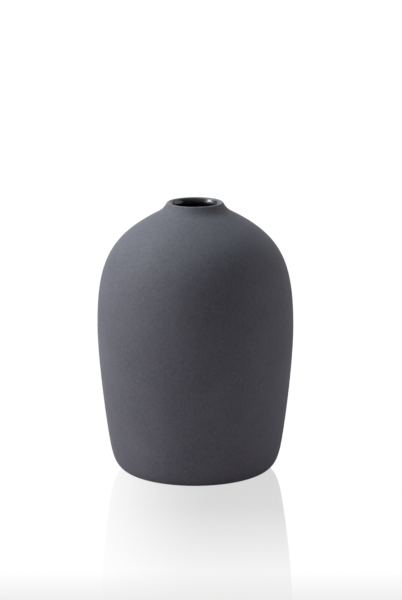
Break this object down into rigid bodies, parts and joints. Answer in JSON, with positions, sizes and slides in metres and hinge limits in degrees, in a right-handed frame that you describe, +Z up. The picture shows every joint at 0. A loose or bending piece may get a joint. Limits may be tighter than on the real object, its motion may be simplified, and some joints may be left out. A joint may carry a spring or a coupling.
{
  "type": "bottle vase",
  "caption": "Small stoneware bottle vase: tapered round body, full shoulder, short collar with a rounded lip, matt slate clay outside and dark gloss glaze inside.",
  "frame": {"origin": "centre of the face that the vase stands on", "axes": "+Z up along the axis of revolution; the vase is round, so +X and +Y are free"},
  "size_m": [0.1436, 0.1436, 0.2],
  "materials": {
    "stoneware": "matt, unglazed, fine-grained",
    "sanded_stoneware": "matt, rubbed smooth where it stands",
    "liner_glaze": "gloss, near black"
  },
  "bodies": {
    "root": {"foot_ring": "sanded_stoneware", "lower_bowl": "stoneware", "shoulder_dome": "stoneware", "neck_collar": "stoneware", "interior_glaze": "liner_glaze"}
  },
  "joints": []
}
